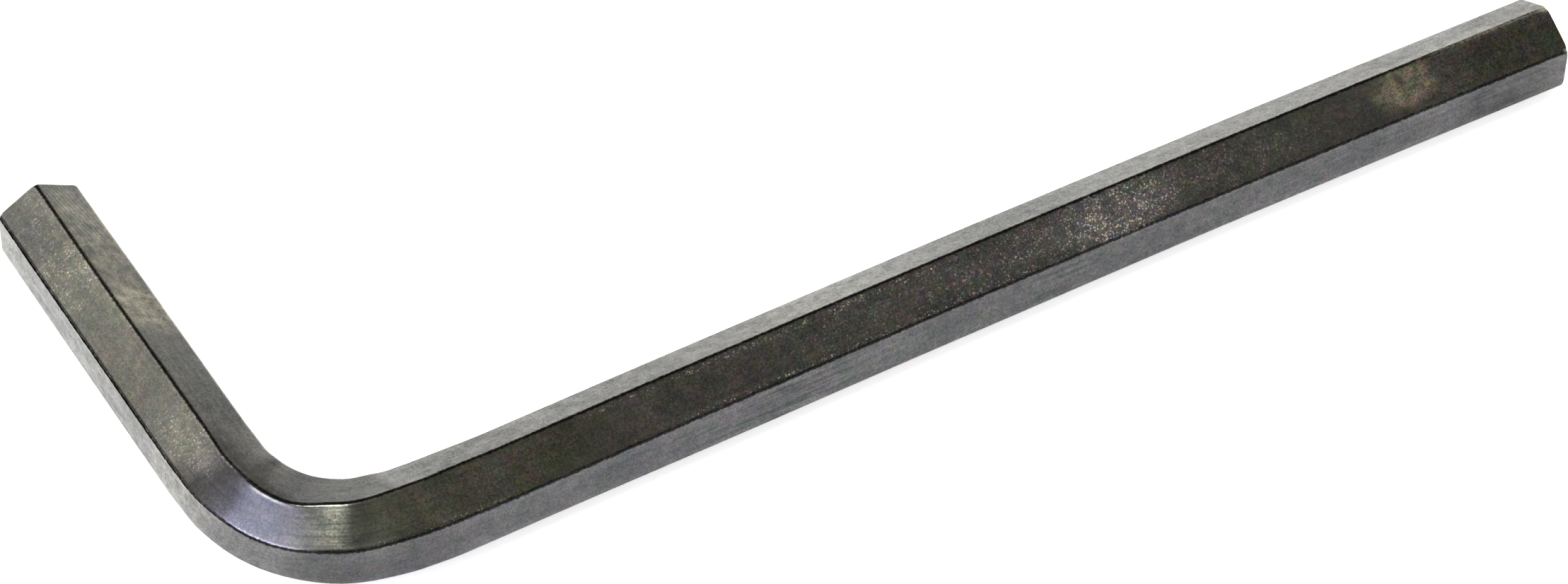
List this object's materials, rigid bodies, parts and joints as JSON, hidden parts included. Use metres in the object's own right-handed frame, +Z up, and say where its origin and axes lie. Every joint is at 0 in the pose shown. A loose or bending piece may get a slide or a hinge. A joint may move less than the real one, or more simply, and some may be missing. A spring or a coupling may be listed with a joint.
{
  "type": "hex key",
  "caption": "L-shaped hexagonal key bent from one steel bar, with a long and a short arm, for turning hex socket screws.",
  "frame": {"origin": "on the table, under the middle of the key's bounding box", "axes": "+X along the long arm towards its tip, +Y along the short arm towards its tip, +Z up, with the bend's outside corner towards -X and -Y"},
  "size_m": [0.085, 0.033, 0.0057],
  "materials": {
    "plated_steel": "dull dark grey, drawn bar with a fine speckle and light wear"
  },
  "bodies": {
    "root": {"hex_key": "plated_steel"}
  },
  "joints": []
}
